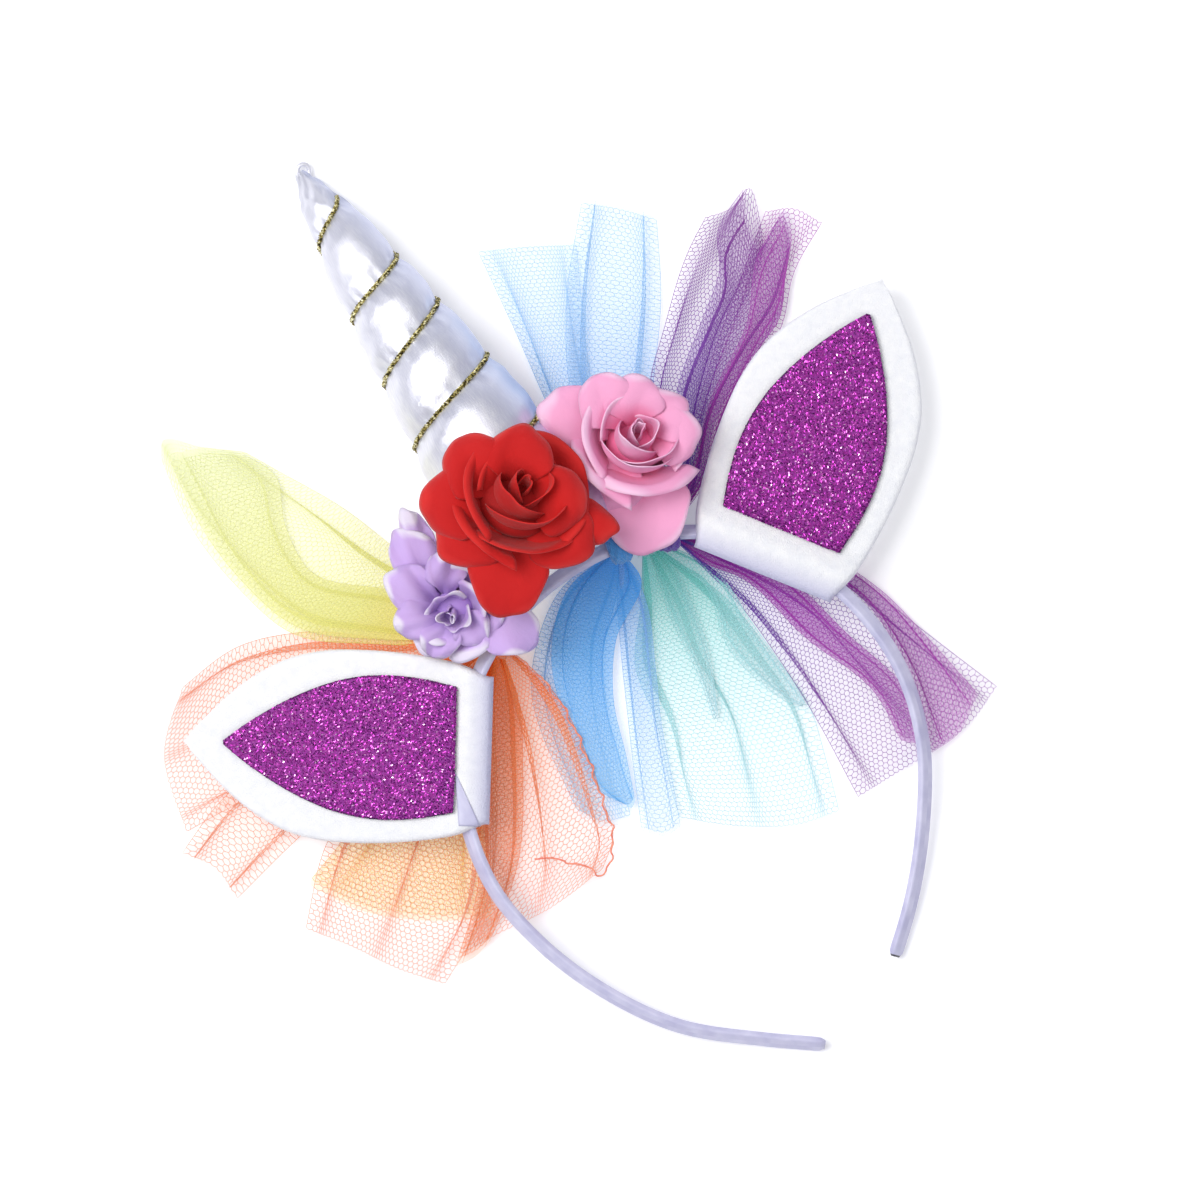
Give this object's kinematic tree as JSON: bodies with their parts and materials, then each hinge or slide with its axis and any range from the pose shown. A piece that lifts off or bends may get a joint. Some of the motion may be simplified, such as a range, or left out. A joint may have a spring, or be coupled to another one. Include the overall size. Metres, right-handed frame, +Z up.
{
  "type": "unicorn horn headband",
  "caption": "Costume headband with a padded spiral horn, two felt ears with glitter centres, cloth roses and knotted net strips, lying on its back.",
  "frame": {"origin": "middle of the underside of the whole headband as it lies on its back", "axes": "+Z up from the surface it lies on, +Y from the open ends of the band to its crown and along the horn, +X to the right seen from above with the horn pointing away"},
  "size_m": [0.2542, 0.286, 0.056],
  "materials": {
    "satin": "satin ribbon wrapped round the strip, soft sheen",
    "silver_cloth": "silver lame cloth over stuffing, fine brushed grain",
    "gold_cord": "metallic braided cord",
    "felt": "thick soft felt, matt and fuzzy",
    "glitter_foam": "foam sheet covered in coarse glitter",
    "red_petals": "pressed cloth petals, matt",
    "pink_petals": "pressed cloth petals, matt, darker towards the root",
    "lilac_petals": "pressed satin petals, soft sheen",
    "net_orange": "soft hexagonal net",
    "net_yellow": "soft hexagonal net",
    "net_blue": "soft hexagonal net",
    "net_teal": "soft hexagonal net",
    "net_purple": "soft hexagonal net"
  },
  "bodies": {
    "root": {"ear_left": "felt", "ear_left_glitter": "glitter_foam", "ear_right": "felt", "ear_right_glitter": "glitter_foam", "headband": "satin", "horn": "silver_cloth", "horn_cord": "gold_cord", "knot_blue": "net_blue", "knot_orange": "net_orange", "knot_purple": "net_purple", "knot_teal": "net_teal", "knot_yellow": "net_yellow", "rose_lilac": "lilac_petals", "rose_pink": "pink_petals", "rose_red": "red_petals", "tulle_blue_down": "net_blue", "tulle_blue_up": "net_blue", "tulle_orange": "net_orange", "tulle_purple_down": "net_purple", "tulle_purple_up": "net_purple", "tulle_teal_down": "net_teal", "tulle_yellow": "net_yellow"}
  },
  "joints": []
}
